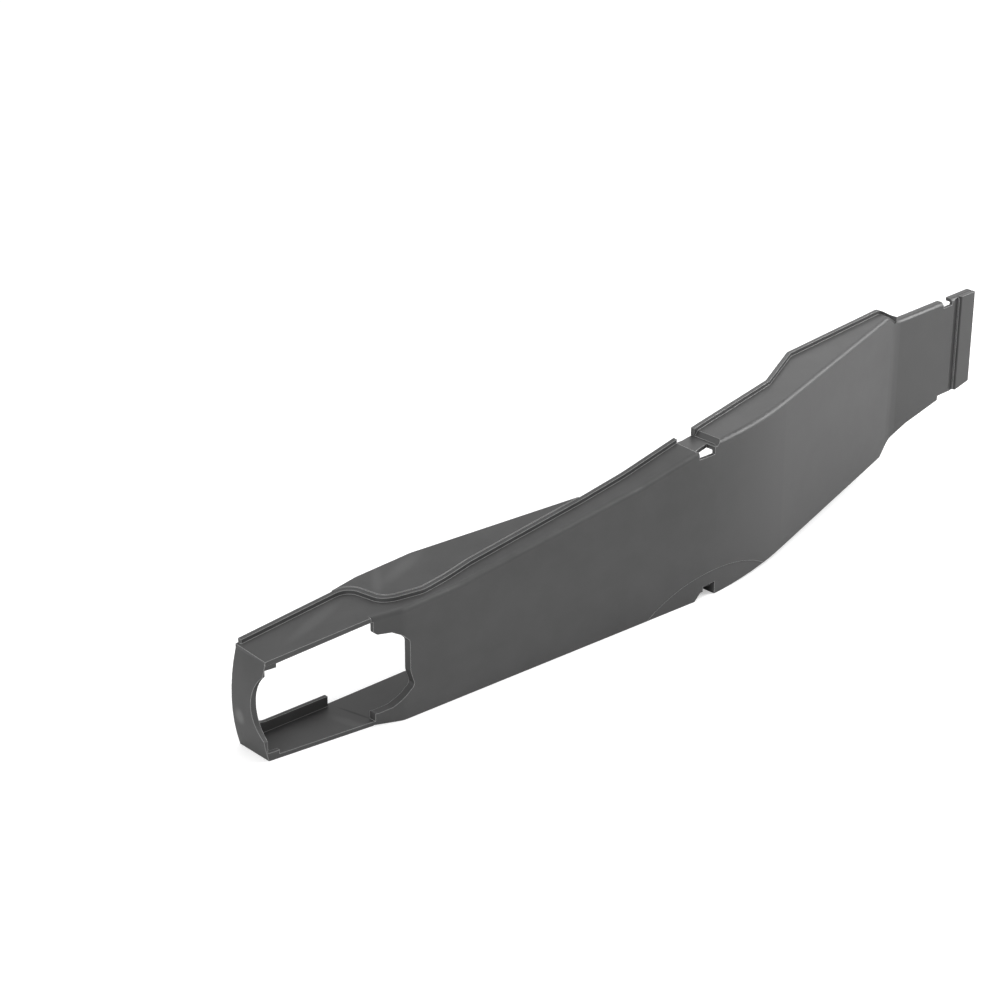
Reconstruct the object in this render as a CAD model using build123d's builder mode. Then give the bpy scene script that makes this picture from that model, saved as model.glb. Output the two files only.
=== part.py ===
"""Swingarm protector: one thin moulded shell that clips over the outer side of a swingarm.

Frame: X runs along the arm from the axle end to the pivot end, the outer face looks towards -Y
and Z is up. The origin is the inner bottom corner of the axle end, on the ground. Millimetres.
"""
import os

from build123d import *

os.makedirs("parts", exist_ok=True)

# Walls and edges
wall = 2.2
end_wall = 3.2
fold_radius = 2.8
heel_radius = 0.8

# Plan of the outer face
length = 561.0
axle_width = 22.4
window_end = 57.0
window_flare = 6.2
bend_length = 14.0
bend_depth = 6.0
belly_x = 304.0
belly_depth = 39.9
shoulder_x = 483.0
shoulder_inset = 13.0
tail_drift = 4.8
bend_radius = 11.0
belly_radius = 260.0
shoulder_radius = 45.0

# Bottom edge in side view
heel_x = 285.0
corner_run = 11.0
corner_low = 8.3
corner_high = 16.0
ramp_run = 17.0
ramp_high = 21.3
tail_bottom = 32.6
corner_radius = 3.0
ramp_radius = 8.0
nose_bow = 3.6

# Top edge of the front half, at the fold
top_axle = 50.5
top_window = 56.4
top_bend = 58.8
rise_run = 34.0
top_rise = 60.8
middle_x = 225.0
top_middle = 77.5
top_strap = 85.2
top_slope = 0.055
fold_y = -36.0
top_radius = 18.0
top_sweep = 160.0

# Top edge of the rear half
block_front = 87.2
block_rear = 95.5
shoulder_drop = 6.3
tail_top = 89.3

# Strap groove over the top and under the bottom
groove_x = 264.0
groove_width = 14.7
groove_ramp = 3.4
groove_floor = 84.8
lower_groove_x = 265.5
lower_groove_width = 15.2
lower_groove_ramp = 4.3
lower_groove_depth = 4.0
slot_inset = 1.4
slot_width = 11.5
slot_height = 4.0
slot_reach = 3.2
slot_slant = 3.2
lower_slot_width = 9.0
lower_slot_height = 1.0
lower_slot_reach = 4.0

# Shallow recess in the outer face over the lower groove, bounded by an arc
recess_x = 279.5
recess_radius = 91.0
recess_high = 14.5
recess_depth = 0.4

# Top flange and its raised lobe
lobe_lift = 2.6
lobe_edge_x = 105.0
lobe_end_x = 194.5
flange_narrow = -24.1
flange_strap = -21.2
block_flange = -19.6
wave_start_x = 352.0
wave_start_y = -5.0
wave_length = 37.5
wave_end_y = 13.5
block_end_y = 20.4
block_run = 9.0
lip_depth = 5.2

# Rim on the top flange
rim_width = 2.4
rim_height = 2.1
rear_rim_height = 2.2
rear_rim_radius = 4.0
rim_cross_x = 66.5
rim_bulge_x = 88.0
rim_bulge_y = -28.9
rim_return_x = 120.0
rim_return_y = -25.7
rim_turn_radius = 10.0

# Bottom flange with its tabs
axle_tab_x = 112.0
axle_tab_y = 1.0
waist_y = -15.0
middle_tab_x = 158.0
middle_tab_y = -8.0
strap_tab_width = 62.0
strap_tab_y = 9.0
rear_waist_y = -14.0
tab_radius = 6.0
tab_slant = 9.0

# Axle section: frame on the inner side and window on the outer side
stile_width = 4.4
frame_wall = 2.2
lower_lip_height = 7.6
lower_lip_length = 50.5
upper_lip_height = 8.0
upper_lip_length = 58.0
frame_radius = 10.0
window_cheek_x = 75.4
window_cheek_low = 17.0
window_cheek_high = 41.2
bead_width = 3.0
bead_depth = 2.0
tab_width = 2.6
tab_drop = 4.0
edge_scallop = 22.0
edge_scallop_y = -14.6

# Pivot end
strip_width = 14.5
strip_height = 1.4
channel_radius = 8.0
channel_depth = 0.8
notch_x = 530.8
notch_width = 8.7
notch_depth = 3.7
lower_notch_x = 531.0
lower_notch_width = 12.5
lower_notch_depth = 3.1

# Round marks of the ejector pins on the inner face, as distance along and height
mark_radius = 4.0
mark_depth = 0.35
marks = [(98, 16), (182, 18), (238, 17), (340, 20), (415, 24), (420, 76), (335, 72), (494, 80), (494, 38)]

# Places worked out from the sizes above
far = 900.0
run_on = 60.0
mid_height = 42.0
window_splay = window_flare / window_end
window_climb = (top_window - top_axle) / window_end
window_depth = axle_width + window_flare
bend_x = window_end + bend_length
bend_y = -window_depth - bend_depth
rise_x = bend_x + rise_run
groove_end = groove_x + groove_width
half_x = groove_x + groove_width / 2
corner_x = shoulder_x - corner_run
ramp_x = shoulder_x + ramp_run
block_end_x = shoulder_x - block_run
tail_y = shoulder_inset + tail_drift
wave_end_x = wave_start_x + wave_length
strip_x = length - strip_width
tail_fall = (block_rear - shoulder_drop - tail_top) / (length - shoulder_x)
notch_floor = tail_top + tail_fall * (length - notch_x) - notch_depth
tail_climb = (tail_bottom - ramp_high) / (length - ramp_x)
lower_notch_top = ramp_high + tail_climb * (lower_notch_x - ramp_x) + lower_notch_depth

# The front half of the top falls a little towards the outer face
leaning = Plane(origin=(0, fold_y, 0), x_dir=(1, 0, 0), z_dir=(0, -1, -top_slope))
upright = Plane.XZ


def outer_y(x):
    """Return the Y of the outer face at a distance along the arm, without its soft bends."""
    knots = [
        (-far, window_splay * far - axle_width),
        (window_end, -window_depth),
        (bend_x, bend_y),
        (belly_x, -belly_depth),
        (shoulder_x, shoulder_inset),
        (length, tail_y),
        (far + length, tail_y),
    ]
    pairs = zip(knots, knots[1:])
    (x0, y0), (x1, y1) = next(pair for pair in pairs if pair[0][0] <= x <= pair[1][0])
    return y0 + (y1 - y0) * (x - x0) / (x1 - x0)


def plan_face(start, finish, inset):
    """Return the plan of the shell between two ends, moved inwards from the outer face by the inset."""
    with BuildSketch() as plan:
        with BuildLine():
            Polyline(
                (-far, far),
                (-far, window_splay * far - axle_width),
                (window_end, -window_depth),
                (bend_x, bend_y),
                (belly_x, -belly_depth),
                (shoulder_x, shoulder_inset),
                (length, tail_y),
                (length + far, tail_y),
                (length + far, far),
                close=True,
            )
        make_face()
        bends = [
            ((window_end, -window_depth), bend_radius),
            ((bend_x, bend_y), bend_radius),
            ((belly_x, -belly_depth), belly_radius),
            ((shoulder_x, shoulder_inset), shoulder_radius),
        ]
        for place, radius in bends:
            fillet(plan.vertices().sort_by_distance(place)[0], radius=radius)
        if inset:
            offset(amount=-inset, kind=Kind.INTERSECTION)
        with Locations(((start + finish) / 2, 0)):
            Rectangle(finish - start, 2 * far, mode=Mode.INTERSECT)
    return plan.sketch


def rounded(points, corners):
    """Return a closed face through the points, with the listed corners rounded."""
    with BuildSketch() as shape:
        with BuildLine():
            Polyline(*points, close=True)
        make_face()
        for place, radius in corners:
            fillet(shape.vertices().sort_by_distance(place)[0], radius=radius)
    return shape.sketch


def bottom_region(lift):
    """Return the side view of everything below the bottom edge."""
    edge = [
        (-far, lift),
        (heel_x, lift),
        (corner_x, corner_low + lift),
        (shoulder_x, corner_high + lift),
        (ramp_x, ramp_high + lift),
        (length, tail_bottom + lift),
        (length + far, tail_bottom + lift),
    ]
    corners = [(edge[2], corner_radius), (edge[3], ramp_radius)]
    return rounded(edge + [(length + far, -far), (-far, -far)], corners)


def front_top_edge(lift):
    """Return the points of the top edge in front of the groove, lifted by a distance."""
    climb = (top_strap - top_middle) / (groove_x - middle_x)
    return [
        (-far, top_axle - window_climb * far + lift),
        (window_end, top_window + lift),
        (bend_x, top_bend + lift),
        (rise_x, top_rise + lift),
        (middle_x, top_middle + lift),
        (half_x, top_strap + climb * (half_x - groove_x) + lift),
    ]


def front_top_region(lift):
    """Return the side view of everything above the front top edge."""
    edge = front_top_edge(lift)
    corners = [(edge[1], top_radius), (edge[2], top_radius), (edge[3], top_sweep), (edge[4], top_sweep)]
    return rounded(edge + [(half_x, far), (-far, far)], corners)


def rear_top_region(lift):
    """Return the side view of everything above the rear top edge."""
    edge = [
        (half_x, block_front + lift),
        (groove_end, block_front + lift),
        (block_end_x, block_rear + lift),
        (shoulder_x, block_rear - shoulder_drop + lift),
        (length + far, tail_top - tail_fall * far + lift),
    ]
    corners = [(edge[2], ramp_radius), (edge[3], 3 * ramp_radius)]
    return rounded(edge + [(length + far, far), (half_x, far)], corners)


def nose_region(nose):
    """Return the side view of everything behind the bowed axle end."""
    with BuildSketch() as region:
        with BuildLine():
            ThreePointArc((nose, 0), (nose - nose_bow, top_axle / 2), (nose, top_axle))
            Polyline((nose, top_axle), (nose, far), (far, far), (far, -far), (nose, -far), (nose, 0))
        make_face()
    return region.sketch


def fold_edges(form, side):
    """Return the long edges of the outer face above or below the middle height."""
    return [
        edge
        for edge in form.edges()
        if abs(edge.tangent_at(0.5).X) > 0.5
        and side * ((edge @ 0.5).Z - mid_height) > 0
        and abs((edge @ 0.5).Y - outer_y((edge @ 0.5).X)) < shoulder_inset / 3
    ]


def soften_fold(form, radius):
    """Round the long edges where the outer face meets the top and the bottom."""
    fillet(fold_edges(form, 1), radius=radius)
    fillet(fold_edges(form, -1), radius=heel_radius)


def front_hull(inset, nose, radius):
    """Return the filled front half, from the axle end to the middle of the groove."""
    with BuildPart() as form:
        with BuildSketch():
            add(plan_face(-run_on, half_x, inset))
        extrude(amount=far)
        with BuildSketch(upright):
            add(bottom_region(inset))
        extrude(amount=far, both=True, mode=Mode.SUBTRACT)
        with BuildSketch(leaning):
            add(front_top_region(-inset))
        extrude(amount=far, both=True, mode=Mode.SUBTRACT)
        if radius:
            soften_fold(form, radius)
        with BuildSketch(upright):
            add(nose_region(nose))
            with Locations((half_x, 0)):
                Rectangle(far, 2 * far, align=(Align.MIN, Align.CENTER))
        extrude(amount=far, both=True, mode=Mode.INTERSECT)
    return form.part


def rear_hull(inset, finish, radius):
    """Return the filled rear half, from the middle of the groove to the pivot end."""
    with BuildPart() as form:
        with BuildSketch():
            add(plan_face(half_x, finish, inset))
        extrude(amount=far)
        with BuildSketch(upright):
            add(bottom_region(inset))
        extrude(amount=far, both=True, mode=Mode.SUBTRACT)
        with BuildSketch(upright):
            add(rear_top_region(-inset))
        extrude(amount=far, both=True, mode=Mode.SUBTRACT)
        if radius:
            soften_fold(form, radius)
    return form.part


front_form = front_hull(0, 0, fold_radius)
rear_form = rear_hull(0, length, fold_radius)
front_hollow = front_hull(wall, end_wall, 0)
rear_hollow = rear_hull(wall, length - wall, 0)


def band(lower, upper, start, finish):
    """Return a slab that follows the leaning front top between two heights over it."""
    with BuildPart() as slab:
        with BuildSketch(leaning):
            add(front_top_region(lower))
            add(front_top_region(upper), mode=Mode.SUBTRACT)
            with Locations(((start + finish) / 2, 0)):
                Rectangle(finish - start, 2 * far, mode=Mode.INTERSECT)
        extrude(amount=far, both=True)
    return slab.part


def rear_band(lower, upper, start, finish):
    """Return a slab that follows the rear top between two heights over it."""
    with BuildPart() as slab:
        with BuildSketch(upright):
            add(rear_top_region(lower))
            add(rear_top_region(upper), mode=Mode.SUBTRACT)
            with Locations(((start + finish) / 2, 0)):
                Rectangle(finish - start, 2 * far, mode=Mode.INTERSECT)
        extrude(amount=far, both=True)
    return slab.part


def column(face):
    """Return a face of the plan extruded through the whole height."""
    with BuildPart() as post:
        with BuildSketch():
            add(face)
        extrude(amount=far)
    return post.part


def rim_plan(points, radius):
    """Return the plan of a rim that follows the points with rounded turns."""
    with BuildSketch() as strip:
        with BuildLine():
            FilletPolyline(*points, radius=radius)
        trace(line_width=rim_width)
    return strip.sketch


def beyond_rim(clearance):
    """Return the plan on the inner side of the front rim, kept clear of its middle line."""
    with BuildSketch() as plan:
        with BuildLine():
            FilletPolyline(*front_rim, radius=rim_turn_radius)
            Polyline(front_rim[-1], (half_x, far), (front_rim[0][0], far), front_rim[0])
        make_face()
        with BuildLine():
            FilletPolyline(*front_rim, radius=rim_turn_radius)
        trace(line_width=2 * clearance, mode=Mode.SUBTRACT)
    return plan.sketch


# Plan lines of the top flange: its inner edge, and the rim that follows it
half_rim = rim_width / 2
axle_edge = [(-far, 0), (rim_cross_x - rim_width, 0)]
lobe_edge = [
    (rim_cross_x - half_rim, 0),
    (lobe_edge_x, 0),
    (lobe_end_x, flange_narrow),
]
strap_edge = [(half_x, flange_strap)]
block_slope = (wave_start_y - block_flange) / (wave_start_x - groove_end)
block_edge = [
    (half_x, block_flange - (groove_end - half_x) * block_slope),
    (wave_start_x, wave_start_y),
    (wave_end_x, wave_end_y),
    (block_end_x, block_end_y),
]
tail_edge = [
    (shoulder_x, shoulder_inset + lip_depth),
    (length, tail_y + lip_depth),
    (length + far, tail_y + lip_depth),
]

front_rim = [
    (end_wall / 2, -half_rim),
    (rim_cross_x - rim_width, -half_rim),
    (rim_cross_x + rim_width, rim_bulge_y + 2 * rim_width),
    (rim_bulge_x, rim_bulge_y),
    (rim_return_x, rim_return_y),
    (lobe_end_x, flange_narrow - half_rim),
    (half_x, flange_strap - half_rim),
]
rear_rim = [(x, y - half_rim) for x, y in block_edge] + [(shoulder_x, shoulder_inset)]

# Bottom flange inner edge, with a tab at the axle, one in the middle and one for the strap
strap_tab_x = lower_groove_x + lower_groove_width / 2
tab_edge = [
    (-far, 0),
    (lower_lip_length, 0),
    (axle_tab_x - tab_slant, axle_tab_y),
    (axle_tab_x + tab_slant / 2, waist_y),
    (middle_tab_x - 3 * tab_slant, waist_y),
    (middle_tab_x - tab_slant, middle_tab_y),
    (middle_tab_x + tab_slant, middle_tab_y),
    (middle_tab_x + 2.5 * tab_slant, 1.4 * waist_y),
    (strap_tab_x - strap_tab_width / 2 - 2 * tab_slant, 1.4 * waist_y),
    (strap_tab_x - strap_tab_width / 2, strap_tab_y),
    (strap_tab_x + strap_tab_width / 2, strap_tab_y),
    (strap_tab_x + strap_tab_width / 2 + 2 * tab_slant, rear_waist_y),
    (strap_tab_x + strap_tab_width / 2 + 5 * tab_slant, rear_waist_y),
    (corner_x, outer_y(corner_x) + 2 * lip_depth),
] + tail_edge
tab_corners = [(place, tab_radius) for place in tab_edge[2:5] + tab_edge[8:12]]
tab_corners += [(place, tab_radius) for place in tab_edge[5:8]]

top_outline = axle_edge + lobe_edge + strap_edge
front_trim = rounded(top_outline + [(half_x, far), (-far, far)], [(lobe_edge[1], 2 * rim_turn_radius)])
rear_outline = block_edge + tail_edge
rear_trim = rounded(
    rear_outline + [(length + far, far), (half_x, far)],
    [(place, 2 * tab_radius) for place in block_edge[1:3]],
)
bottom_trim = rounded(tab_edge + [(length + far, far), (-far, far)], tab_corners)

# Raised lobe between the rim and the inner edge, and the hollow under it
with BuildPart() as lobe:
    add(column(beyond_rim(half_rim)))
    add(band(-wall, lobe_lift, rim_cross_x - rim_turn_radius, lobe_end_x), mode=Mode.INTERSECT)

with BuildPart() as lobe_hollow:
    add(column(beyond_rim(half_rim + wall)))
    add(band(-2 * wall, lobe_lift - wall, rim_cross_x - rim_turn_radius, lobe_end_x), mode=Mode.INTERSECT)

with BuildPart() as front_ridge:
    add(column(rim_plan(front_rim, rim_turn_radius)))
    add(band(-wall, rim_height, -nose_bow, groove_x), mode=Mode.INTERSECT)

with BuildPart() as rear_ridge:
    add(column(rim_plan(rear_rim, rear_rim_radius)))
    add(rear_band(-wall, rear_rim_height, groove_end, shoulder_x), mode=Mode.INTERSECT)


def lower_groove_outline(grow):
    """Return the side outline of the lower groove, grown by a wall on every side."""
    groove_finish = lower_groove_x + lower_groove_width
    return [
        (lower_groove_x - grow, -far),
        (lower_groove_x - grow, grow / 2),
        (lower_groove_x + lower_groove_ramp - grow / 2, lower_groove_depth + grow),
        (groove_finish + grow, lower_groove_depth + grow),
        (groove_finish + grow, -far),
    ]


# Strap groove: the wall dips under the strap at the top and at the bottom
with BuildPart() as groove_wall:
    add(front_form)
    add(rear_form)
    with BuildSketch(upright):
        with Locations((groove_x + groove_width / 2, groove_floor - wall / 2)):
            Rectangle(groove_width + 2 * wall, wall)
        add(rounded(lower_groove_outline(wall), []))
    extrude(amount=far, both=True, mode=Mode.INTERSECT)

# Frame on the inner side of the axle section
with BuildPart() as frame:
    add(front_form)
    with BuildSketch(upright):
        Rectangle(upper_lip_length, far, align=(Align.MIN, Align.CENTER))
        with Locations((-nose_bow, 0)):
            Rectangle(nose_bow, far, align=(Align.MIN, Align.CENTER))
    extrude(amount=frame_wall, mode=Mode.INTERSECT)
    opening_top = top_axle - fold_y * top_slope - upper_lip_height
    opening = [
        (stile_width, lower_lip_height),
        (stile_width, opening_top),
        (upper_lip_length, opening_top + window_climb * upper_lip_length),
        (upper_lip_length, far),
        (far, far),
        (far, -far),
        (lower_lip_length, -far),
        (lower_lip_length, lower_lip_height),
    ]
    with BuildSketch(upright):
        add(rounded(opening, [(opening[0], frame_radius), (opening[1], frame_radius / 2)]))
    extrude(amount=far, both=True, mode=Mode.SUBTRACT)

# Window in the outer side of the axle section, with its small tabs
under_top = top_axle + top_slope * (-axle_width - fold_y) - wall
window_rise = (top_window - top_axle + top_slope * (axle_width - window_depth)) / window_end
window_top = under_top + window_rise * window_end
cheek_mid = (window_end + window_cheek_x) / 2
window_outline = [
    (end_wall + tab_width, under_top),
    (end_wall + tab_width, under_top - tab_drop / 2),
    (end_wall - nose_bow, under_top - tab_drop / 2),
    (end_wall - nose_bow, wall + tab_drop / 2),
    (end_wall + tab_width, wall + tab_drop / 2),
    (end_wall + tab_width, wall),
    (window_end + 1, wall),
    (window_end + 1, wall + tab_drop),
    (window_end + tab_width, wall + tab_drop),
    (cheek_mid, wall + 1.5 * tab_drop),
    (window_cheek_x + tab_width, window_cheek_low),
    (window_cheek_x, window_cheek_low + 2 * tab_drop),
    (window_cheek_x, window_cheek_high),
    (window_cheek_x - tab_drop, window_cheek_high + tab_drop),
    (cheek_mid, window_cheek_high + tab_drop + tab_width),
    (window_end + tab_width, window_cheek_high + tab_drop + tab_width),
    (window_end + 1, window_cheek_high + 2 * tab_drop),
    (window_end + 1, window_top),
]
window_corners = [(place, tab_drop / 8) for place in window_outline[7:9]]
window_corners += [(place, tab_drop / 4) for place in window_outline[14:17]]
window_corners += [(place, tab_width) for place in window_outline[9:14]]
window_face = rounded(window_outline, window_corners)

# Raised strip along the pivot end
strip_outline = [
    (strip_x, outer_y(strip_x) + wall / 2),
    (strip_x + strip_height / 2, outer_y(strip_x) - strip_height),
    (length, tail_y - strip_height),
    (length, tail_y + wall / 2),
]
strip_corners = [(place, strip_height / 2) for place in strip_outline[1:3]]
strip_face = rounded(strip_outline, strip_corners)
with BuildPart() as strip:
    add(column(strip_face))
    with BuildSketch(upright):
        add(bottom_region(0))
        add(rear_top_region(0))
    extrude(amount=far, both=True, mode=Mode.SUBTRACT)

groove_outline = [
    (groove_x, groove_floor),
    (groove_x, far),
    (groove_end + groove_ramp, far),
    (groove_end + groove_ramp, block_front),
    (groove_end, groove_floor),
]

slot_x = groove_x + slot_inset
slot_outline = [
    (slot_x, outer_y(slot_x) + slot_reach),
    (slot_x + slot_width, outer_y(slot_x) + slot_reach + slot_slant),
    (slot_x + slot_width, -far),
    (slot_x, -far),
]

# Thicker wall along the rear edge of the window
with BuildPart() as bead:
    with BuildSketch():
        add(plan_face(window_end + 1, window_cheek_x + 2 * bead_width, wall / 2))
        add(plan_face(window_end + 1, window_cheek_x + 2 * bead_width, wall + bead_depth), mode=Mode.SUBTRACT)
    extrude(amount=window_cheek_high + tab_drop)
    with BuildSketch(upright):
        add(window_face)
        offset(amount=bead_width)
    extrude(amount=far, both=True, mode=Mode.INTERSECT)

# Square edges of the floor and of the top beside the window
with BuildPart() as floor_sill:
    with BuildSketch():
        add(plan_face(0, window_end, 0))
    extrude(amount=wall)

with BuildPart() as top_sill:
    add(column(plan_face(0, window_end, 0)))
    add(band(-wall, 0, 0, window_end), mode=Mode.INTERSECT)

# Thin layer taken off the outer face inside the arc over the lower groove
with BuildPart() as recess:
    with BuildSketch():
        add(plan_face(recess_x - recess_radius, recess_x + recess_radius, 0))
        add(plan_face(recess_x - recess_radius, recess_x + recess_radius, recess_depth), mode=Mode.SUBTRACT)
    extrude(amount=recess_high)
    with BuildSketch(upright):
        with Locations((recess_x, recess_high - recess_radius)):
            Circle(recess_radius)
    extrude(amount=far, both=True, mode=Mode.INTERSECT)

with BuildPart() as guard:
    add(front_form)
    add(rear_form)
    add(front_hollow, mode=Mode.SUBTRACT)
    add(rear_hollow, mode=Mode.SUBTRACT)
    add(groove_wall)
    add(floor_sill)
    add(top_sill)
    add(bead)
    add(lobe)
    add(lobe_hollow, mode=Mode.SUBTRACT)
    # inner edges of the top and bottom flanges
    with BuildSketch(Plane.XY.offset(mid_height)):
        add(front_trim)
        add(rear_trim)
    extrude(amount=far, mode=Mode.SUBTRACT)
    with BuildSketch(Plane.XY.offset(mid_height)):
        add(bottom_trim)
    extrude(amount=-far, mode=Mode.SUBTRACT)
    add(front_ridge)
    add(frame)
    add(strip)
    # strap groove with its slots through the fold
    with BuildSketch(upright):
        add(rounded(groove_outline, []))
        add(rounded(lower_groove_outline(0), []))
    extrude(amount=far, both=True, mode=Mode.SUBTRACT)
    with BuildSketch(Plane.XY.offset(groove_floor - slot_height)):
        add(rounded(slot_outline, []))
    extrude(amount=far, mode=Mode.SUBTRACT)
    with BuildSketch(Plane.XZ.offset(-outer_y(groove_x) - lower_slot_reach)):
        with Locations((lower_groove_x + lower_groove_width, lower_groove_depth + wall + lower_slot_height)):
            Rectangle(lower_slot_width, far, align=(Align.MAX, Align.MAX))
    extrude(amount=far, mode=Mode.SUBTRACT)
    add(recess, mode=Mode.SUBTRACT)
    add(rear_ridge)
    # window of the axle section and the scalloped edge of its end wall
    with BuildSketch(Plane.XZ.offset(-edge_scallop_y)):
        add(window_face)
    extrude(amount=far, mode=Mode.SUBTRACT)
    with BuildSketch(Plane.YZ.offset(-far / 2)):
        with Locations((edge_scallop_y - edge_scallop, top_axle / 2 + wall)):
            Circle(edge_scallop)
    extrude(amount=far / 2 + end_wall + tab_width, mode=Mode.SUBTRACT)
    # channel along the front of the raised strip
    with BuildSketch():
        with Locations((strip_x - channel_depth, outer_y(strip_x) + channel_depth - channel_radius)):
            Circle(channel_radius)
        with Locations((strip_x, 0)):
            Rectangle(far, far, align=(Align.MIN, Align.CENTER), mode=Mode.SUBTRACT)
    extrude(amount=far, mode=Mode.SUBTRACT)
    # notches for the strap at the pivot end
    with BuildSketch(upright):
        with Locations((notch_x + notch_width / 2, notch_floor)):
            Rectangle(notch_width, far, align=(Align.CENTER, Align.MIN))
        with Locations((lower_notch_x + lower_notch_width / 2, lower_notch_top)):
            Rectangle(lower_notch_width, far, align=(Align.CENTER, Align.MAX))
    extrude(amount=far, both=True, mode=Mode.SUBTRACT)
    # round marks of the ejector pins on the inner face
    for mark_x, mark_z in marks:
        turn = (outer_y(mark_x + mark_radius) - outer_y(mark_x - mark_radius)) / (2 * mark_radius)
        inner_y = outer_y(mark_x) + wall * (1 + turn**2) ** 0.5
        mark_plane = Plane(origin=(mark_x, inner_y, mark_z), x_dir=(1, turn, 0), z_dir=(turn, -1, 0))
        with BuildSketch(mark_plane):
            Circle(mark_radius)
        extrude(amount=mark_depth, mode=Mode.SUBTRACT)

guard.part.label = "swingarm_guard"
export_step(guard.part, "parts/swingarm_guard.step")
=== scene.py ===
"""Dresses the moulded swingarm protector and sets it in a plain pale studio.

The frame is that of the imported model: X along the arm from the axle end, the outer face towards
-Y, Z up, in metres.
"""
import logging
from dataclasses import dataclass, field
from enum import Enum
from typing import Dict, List, Mapping, Optional, Sequence, Tuple, Union

import bpy
import numpy as np
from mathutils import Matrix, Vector


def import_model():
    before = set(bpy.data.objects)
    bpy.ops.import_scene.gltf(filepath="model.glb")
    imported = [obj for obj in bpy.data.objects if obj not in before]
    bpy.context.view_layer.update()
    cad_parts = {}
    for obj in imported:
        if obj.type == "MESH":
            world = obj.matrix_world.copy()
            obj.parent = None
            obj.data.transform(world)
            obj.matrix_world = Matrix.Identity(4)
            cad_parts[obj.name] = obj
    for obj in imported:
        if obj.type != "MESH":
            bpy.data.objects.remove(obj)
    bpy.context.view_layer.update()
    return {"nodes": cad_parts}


log = logging.getLogger("protector")

Vec3 = Tuple[float, float, float]
Range = Tuple[float, float]
Colour = Tuple[float, float, float, float]
Socket = bpy.types.NodeSocket

MM_PER_M = 1000.0
UNIT: Range = (0.0, 1.0)


def linear(hex_colour: str, alpha: float = 1.0) -> Colour:
    """Turn an sRGB hex colour into the linear values that shader sockets take.

    Args:
        hex_colour: six hex digits, with or without a leading hash.
        alpha: opacity.

    Returns:
        Red, green, blue and alpha.
    """
    digits = hex_colour.lstrip("#")
    srgb = [int(digits[i : i + 2], 16) / 255.0 for i in (0, 2, 4)]
    rgb = [c / 12.92 if c <= 0.04045 else ((c + 0.055) / 1.055) ** 2.4 for c in srgb]
    return rgb[0], rgb[1], rgb[2], alpha


class Blend(Enum):
    """What a mix node mixes: its data type and the numbers of its two inputs and its output."""

    VALUE = ("FLOAT", 2, 3, 0)
    COLOUR = ("RGBA", 6, 7, 2)


class Tree:
    """A node tree of a material or world, with one call for a node, its settings and its links."""

    def __init__(self, owner: Union[bpy.types.Material, bpy.types.World]) -> None:
        """Empty the owner's node tree and keep it at hand.

        Args:
            owner: the material or world that the tree belongs to.
        """
        owner.use_nodes = True
        self.nodes = owner.node_tree.nodes
        self.links = owner.node_tree.links
        self.nodes.clear()

    def add(
        self,
        kind: str,
        settings: Optional[Mapping[str, object]] = None,
        inputs: Optional[Mapping[Union[str, int], object]] = None,
    ) -> bpy.types.ShaderNode:
        """Add a node with its settings and links.

        Args:
            kind: the node's type name.
            settings: property names and values.
            inputs: socket names or numbers, each with a value or with the socket that feeds it.

        Returns:
            The new node.
        """
        node = self.nodes.new(kind)
        for key, value in (settings or {}).items():
            setattr(node, key, value)
        for key, value in (inputs or {}).items():
            if isinstance(value, Socket):
                self.links.new(value, node.inputs[key])
            else:
                node.inputs[key].default_value = value
        return node

    def noise(
        self, place: Socket, size_mm: float, detail: float, roughness: float, distortion: float = 0.0
    ) -> Socket:
        """Add a noise.

        Args:
            place: the coordinates that it is drawn on, in metres.
            size_mm: the size of its lumps.
            detail: how many finer layers it has.
            roughness: how strong the finer layers are.
            distortion: how far it is bent out of shape.

        Returns:
            Its values.
        """
        node = self.add(
            "ShaderNodeTexNoise",
            inputs={
                "Vector": place,
                "Scale": MM_PER_M / size_mm,
                "Detail": detail,
                "Roughness": roughness,
                "Distortion": distortion,
            },
        )
        return node.outputs["Fac"]

    def remap(self, value: Socket, old: Range, new: Range = UNIT, soft: bool = False) -> Socket:
        """Carry a value from one range to another and hold it between the new one's ends.

        Args:
            value: the value.
            old: the ends of its range.
            new: the ends that they become.
            soft: whether it starts and stops gently.

        Returns:
            The new value.
        """
        node = self.add(
            "ShaderNodeMapRange",
            {"interpolation_type": "SMOOTHSTEP" if soft else "LINEAR"},
            {
                "Value": value,
                "From Min": old[0],
                "From Max": old[1],
                "To Min": new[0],
                "To Max": new[1],
            },
        )
        return node.outputs[0]

    def blend(self, kind: Blend, share: Socket, first: object, second: object) -> Socket:
        """Mix two colours or two values.

        Args:
            kind: what is mixed.
            share: how much of the second one there is.
            first: the first one, as a value or a socket.
            second: the second one, as a value or a socket.

        Returns:
            The mix.
        """
        data_type, first_input, second_input, output = kind.value
        node = self.add(
            "ShaderNodeMix",
            {"data_type": data_type},
            {"Factor": share, first_input: first, second_input: second},
        )
        return node.outputs[output]


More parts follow.
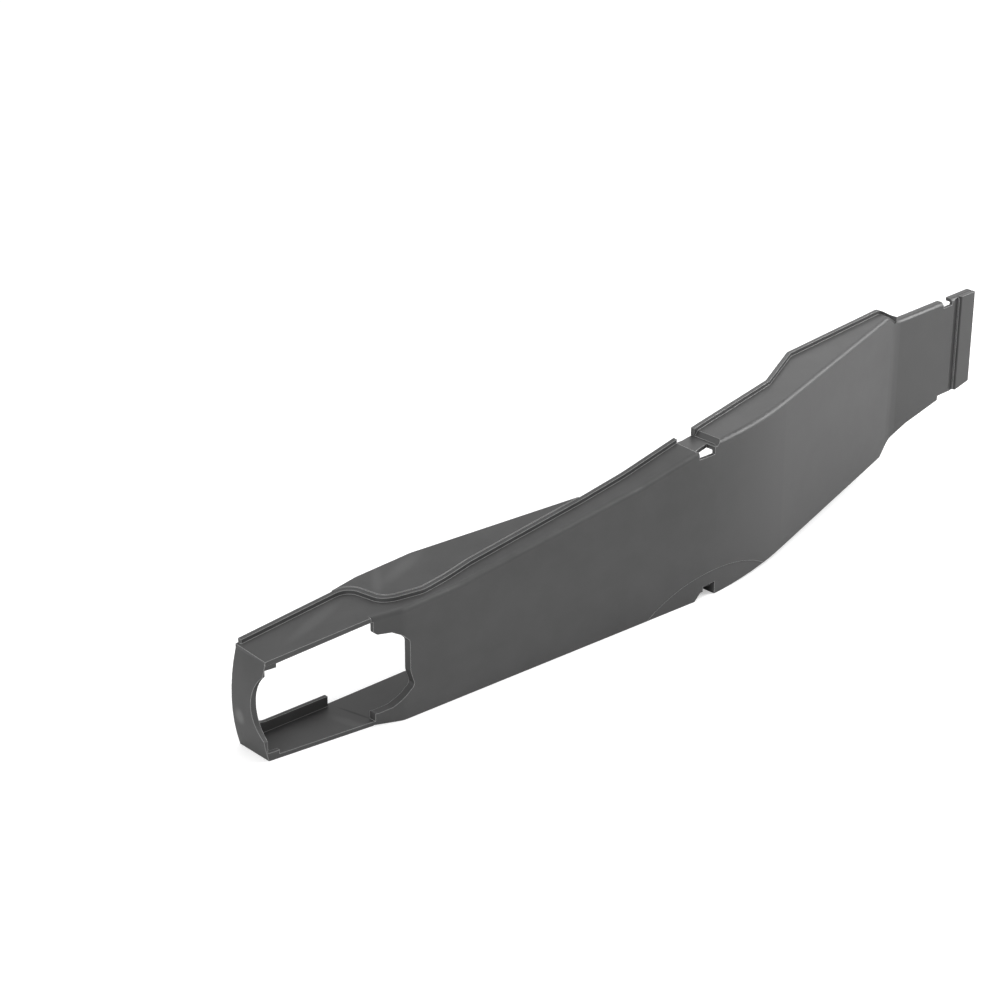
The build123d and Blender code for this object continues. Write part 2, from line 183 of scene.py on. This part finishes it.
@dataclass(frozen=True)
class Mark:
    """A soft oval patch of another tone on the skin.

    Attributes:
        middle: its middle, in metres.
        reach: its half sizes along its own axes, in metres.
        turn: its turn about Z, in radians.
        tone: its colour.
        weight: how much of that colour its middle shows.
        soft_rim: the share of its half size over which it fades in.
    """

    middle: Vec3
    reach: Vec3
    turn: float
    tone: str
    weight: float
    soft_rim: float = 0.7

    def paint(self, tree: Tree, place: Socket, skin: Socket) -> Socket:
        """Lay the mark over the skin's colour.

        Args:
            tree: the finish's node tree.
            place: the coordinates on the object.
            skin: the colour underneath.

        Returns:
            The colour with the mark on it.
        """
        local = tree.add(
            "ShaderNodeMapping",
            {"vector_type": "TEXTURE"},
            {
                "Vector": place,
                "Location": self.middle,
                "Rotation": (0.0, 0.0, self.turn),
                "Scale": self.reach,
            },
        )
        ball = tree.add(
            "ShaderNodeTexGradient", {"gradient_type": "SPHERICAL"}, {"Vector": local.outputs[0]}
        )
        share = tree.remap(
            ball.outputs["Fac"], (0.0, self.soft_rim), (0.0, self.weight), soft=True
        )
        return tree.blend(Blend.COLOUR, share, skin, linear(self.tone))


MARKS_AND_PAINTED_SHADE = (
    # rubbed oval low on the end wall
    Mark((-0.0030, -0.0052, 0.0179), (0.006, 0.0045, 0.0055), 0.0, "#6a6a6a", 0.5),
    # flow streaks on the lobe and on the top of the axle end
    Mark((0.0960, -0.0068, 0.0605), (0.03, 0.006, 0.01), 0.35, "#565656", 0.5),
    Mark((0.0769, -0.0089, 0.0600), (0.02, 0.004, 0.01), 0.9, "#565656", 0.4),
    Mark((0.0389, -0.0111, 0.0535), (0.03, 0.005, 0.01), 0.25, "#545454", 0.4),
    # painted shade: a dark line along the fold across the window's floor, and a pale streak beside it
    Mark((0.0558, -0.0166, 0.0022), (0.0145, 0.0011, 0.002), -1.34, "#161616", 0.8),
    Mark((0.0479, -0.0207, 0.0022), (0.014, 0.004, 0.002), -1.34, "#545454", 0.5),
)


@dataclass(frozen=True)
class MouldedPolypropylene:
    """Injection-moulded polypropylene in dark grey: a satin skin with a fine even grain.

    The eye sees a soft broad sheen and a faint mottling where the melt flowed; folds and rims are
    rounded and smoother, and a painted highlight makes their colour paler.
    """

    pale_flow: str = "#434343"
    deep_flow: str = "#393939"
    flow_mm: float = 46.0
    cloud_mm: float = 17.0
    flow_stretch: Vec3 = (0.25, 1.0, 1.0)
    flow_range: Range = (0.7, 1.3)
    gloss_range: Range = (0.39, 0.5)
    ior: float = 1.49
    grain_mm: float = 0.9
    grain_height_mm: float = 0.012
    grain_strength: float = 0.5
    edge_mm: float = 0.5
    edge_samples: int = 8
    edge_turn: Range = (0.99, 0.86)
    # painted highlight: the paler colour that edges, convex and concave, are painted towards
    painted_edge_highlight: str = "#9a9a9a"
    edge_roughness: float = 0.3

    def flow(self, tree: Tree, place: Socket) -> Socket:
        """Draw the mottling of the melt: long flow marks along the arm plus finer clouds.

        Args:
            tree: the finish's node tree.
            place: the coordinates on the object.

        Returns:
            The sum of the two noises.
        """
        along = tree.add("ShaderNodeMapping", inputs={"Vector": place, "Scale": self.flow_stretch})
        marks = tree.noise(along.outputs[0], self.flow_mm, 3.0, 0.55, distortion=0.6)
        clouds = tree.noise(place, self.cloud_mm, 4.0, 0.6)
        return tree.add("ShaderNodeMath", {"operation": "ADD"}, {0: marks, 1: clouds}).outputs[0]

    def turning(self, tree: Tree, rounded: Socket) -> Socket:
        """Find where the rounded normal leaves the plain one, which is at edges only.

        Args:
            tree: the finish's node tree.
            rounded: the normal that turns over the edges.

        Returns:
            0 on open surfaces, 1 at sharp edges.
        """
        plain = tree.add("ShaderNodeNewGeometry").outputs["Normal"]
        agreement = tree.add(
            "ShaderNodeVectorMath", {"operation": "DOT_PRODUCT"}, {0: rounded, 1: plain}
        )
        return tree.remap(agreement.outputs["Value"], self.edge_turn)

    def build(self, name: str) -> bpy.types.Material:
        """Build the material.

        Args:
            name: the material's name.

        Returns:
            The material.
        """
        material = bpy.data.materials.new(name)
        tree = Tree(material)
        place = tree.add("ShaderNodeTexCoord").outputs["Object"]
        flow = self.flow(tree, place)
        paler = tree.remap(flow, self.flow_range)
        skin = tree.blend(Blend.COLOUR, paler, linear(self.deep_flow), linear(self.pale_flow))
        gloss = tree.remap(flow, self.flow_range, self.gloss_range)
        # lays the skin's marks, and the painted shade along the window floor's fold
        for mark in MARKS_AND_PAINTED_SHADE:
            skin = mark.paint(tree, place, skin)
        # moulded edges are never sharp: the normal turns over this radius, and where it turns the
        # skin is smoother and a painted highlight makes its colour paler, so that rims and folds show
        # as fine light lines
        edge = tree.add(
            "ShaderNodeBevel", {"samples": self.edge_samples}, {"Radius": self.edge_mm / MM_PER_M}
        ).outputs[0]
        edge_highlight_share = self.turning(tree, edge)
        # grain of the mould's eroded surface, drawn at about one and a half pixels so that it shows
        grain = tree.noise(place, self.grain_mm, 2.0, 0.5)
        bump = tree.add(
            "ShaderNodeBump",
            inputs={
                "Strength": self.grain_strength,
                "Distance": self.grain_height_mm / MM_PER_M,
                "Height": grain,
                "Normal": edge,
            },
        )
        shader = tree.add(
            "ShaderNodeBsdfPrincipled",
            inputs={
                # base colour: the skin, painted paler at edges as a painted highlight
                "Base Color": tree.blend(Blend.COLOUR, edge_highlight_share, skin, linear(self.painted_edge_highlight)),
                "Roughness": tree.blend(Blend.VALUE, edge_highlight_share, gloss, self.edge_roughness),
                "IOR": self.ior,
                "Normal": bump.outputs[0],
            },
        )
        tree.add("ShaderNodeOutputMaterial", inputs={"Surface": shader.outputs[0]})
        return material


@dataclass(frozen=True)
class PaperFloor:
    """Seamless white background paper: matt, and lit to white, with the object's soft shadow."""

    colour: str = "#e4e4e4"
    lift: float = 0.42

    def build(self, name: str) -> bpy.types.Material:
        """Build the material.

        Args:
            name: the material's name.

        Returns:
            The material, which the camera sees a step paler than it lights the object.
        """
        material = bpy.data.materials.new(name)
        tree = Tree(material)
        seen = tree.add("ShaderNodeLightPath").outputs["Is Camera Ray"]
        strength = tree.add("ShaderNodeMath", {"operation": "MULTIPLY"}, {0: seen, 1: self.lift})
        matt = tree.add("ShaderNodeBsdfDiffuse", inputs={"Color": linear(self.colour)})
        glow = tree.add("ShaderNodeEmission", inputs={"Strength": strength.outputs[0]})
        both = tree.add("ShaderNodeAddShader", inputs={0: matt.outputs[0], 1: glow.outputs[0]})
        tree.add("ShaderNodeOutputMaterial", inputs={"Surface": both.outputs[0]})
        return material


@dataclass
class MouldedShell:
    """The one-piece guard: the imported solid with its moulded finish."""

    node: str = "swingarm_guard"
    finish: MouldedPolypropylene = field(default_factory=MouldedPolypropylene)

    def dress(self, nodes: Dict[str, bpy.types.Object]) -> bpy.types.Object:
        """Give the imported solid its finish.

        Args:
            nodes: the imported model's objects by node name.

        Returns:
            The shell's object.
        """
        shell = nodes[self.node]
        shell.data.materials.clear()
        shell.data.materials.append(self.finish.build("moulded_polypropylene_dark_grey"))
        return shell


class Lamp(Enum):
    """The studio's lamps: name, place in metres, size in metres and power in watts."""

    KEY = ("key", (1.8, -0.66, 0.98), 1.0, 32.0)
    TOP = ("top", (0.15, 0.35, 1.55), 1.4, 8.0)
    BACK = ("back", (1.0, 0.45, 0.5), 0.5, 0.8)
    SIDE = ("side", (-1.45, -0.45, 0.75), 0.9, 14.5)

    def light(self, aim: Vec3) -> bpy.types.Object:
        """Make the lamp and turn it to the object.

        Args:
            aim: the point that it looks at.

        Returns:
            The lamp's object.
        """
        name, place, size, power = self.value
        data = bpy.data.lights.new(f"lamp_{name}", "AREA")
        data.energy = power
        data.size = size
        lamp = bpy.data.objects.new(f"lamp_{name}", data)
        lamp.location = place
        lamp.rotation_euler = (Vector(aim) - Vector(place)).to_track_quat("-Z", "Y").to_euler()
        bpy.context.scene.collection.objects.link(lamp)
        return lamp


@dataclass
class Studio:
    """Pale floor, soft lamps, white surroundings and the photograph's camera."""

    floor_half: float = 9.0
    floor_side: int = 3
    aim: Vec3 = (0.27, -0.01, 0.04)
    world_strength: float = 0.53
    camera_place: Vec3 = (-0.57915, -0.82299, 0.56604)
    camera_forward: Vec3 = (0.61273, 0.67904, -0.40432)
    camera_clip: Range = (0.01, 60.0)
    focal_px: float = 2445.8
    frame_px: float = 1000.0
    sensor_mm: float = 24.0

    def lay_floor(self) -> bpy.types.Object:
        """Lay the floor: a flat square grid of points from minus to plus the half width, height zero.

        Returns:
            The floor's object.
        """
        side = self.floor_side
        u, v = np.meshgrid(np.linspace(-1, 1, side), np.linspace(-1, 1, side), indexing="xy")
        points = np.stack([u, v, 0 * u], axis=-1).reshape(-1, 3) * self.floor_half
        corner = (np.arange(side - 1)[:, None] * side + np.arange(side - 1)[None, :]).ravel()
        faces = np.stack([corner, corner + 1, corner + side + 1, corner + side], axis=-1)
        mesh = bpy.data.meshes.new("floor")
        mesh.from_pydata(points.tolist(), [], faces.tolist())
        mesh.materials.append(PaperFloor().build("background_paper"))
        floor = bpy.data.objects.new("floor", mesh)
        bpy.context.scene.collection.objects.link(floor)
        return floor

    def light_world(self) -> None:
        """Surround the object with white: full white to the camera, dimmer as light."""
        world = bpy.data.worlds.new("white_room")
        bpy.context.scene.world = world
        tree = Tree(world)
        path = tree.add("ShaderNodeLightPath").outputs
        seen = tree.add(
            "ShaderNodeMath",
            {"operation": "MAXIMUM"},
            {0: path["Is Camera Ray"], 1: path["Is Transmission Ray"]},
        )
        strength = tree.remap(seen.outputs[0], UNIT, (self.world_strength, 1.0))
        glow = tree.add(
            "ShaderNodeBackground", inputs={"Color": linear("#ffffff"), "Strength": strength}
        )
        tree.add("ShaderNodeOutputWorld", inputs={"Surface": glow.outputs[0]})

    def place_camera(self) -> bpy.types.Object:
        """Put the camera where the photograph was taken from.

        Returns:
            The camera's object. Its lens is the focal length in pixels times the sensor's width
            over the picture's width.
        """
        data = bpy.data.cameras.new("camera")
        data.sensor_fit = "HORIZONTAL"
        data.sensor_width = self.sensor_mm
        data.lens = self.focal_px * self.sensor_mm / self.frame_px
        data.clip_start, data.clip_end = self.camera_clip
        camera = bpy.data.objects.new("camera", data)
        camera.location = self.camera_place
        camera.rotation_euler = Vector(self.camera_forward).to_track_quat("-Z", "Y").to_euler()
        bpy.context.scene.collection.objects.link(camera)
        bpy.context.scene.camera = camera
        return camera

    def build(self) -> None:
        """Set up the floor, the lamps, the world and the camera."""
        self.lay_floor()
        for lamp in Lamp:
            lamp.light(self.aim)
        self.light_world()
        self.place_camera()
        bpy.context.scene.view_settings.view_transform = "Standard"


def main() -> None:
    """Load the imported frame, dress the shell and set up the studio."""
    logging.basicConfig(level=logging.INFO, format="%(name)s: %(message)s")
    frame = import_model()
    shell = MouldedShell().dress(frame["nodes"])
    log.info("shell %s: %d faces", shell.name, len(shell.data.polygons))
    Studio().build()


if __name__ == "__main__":
    main()
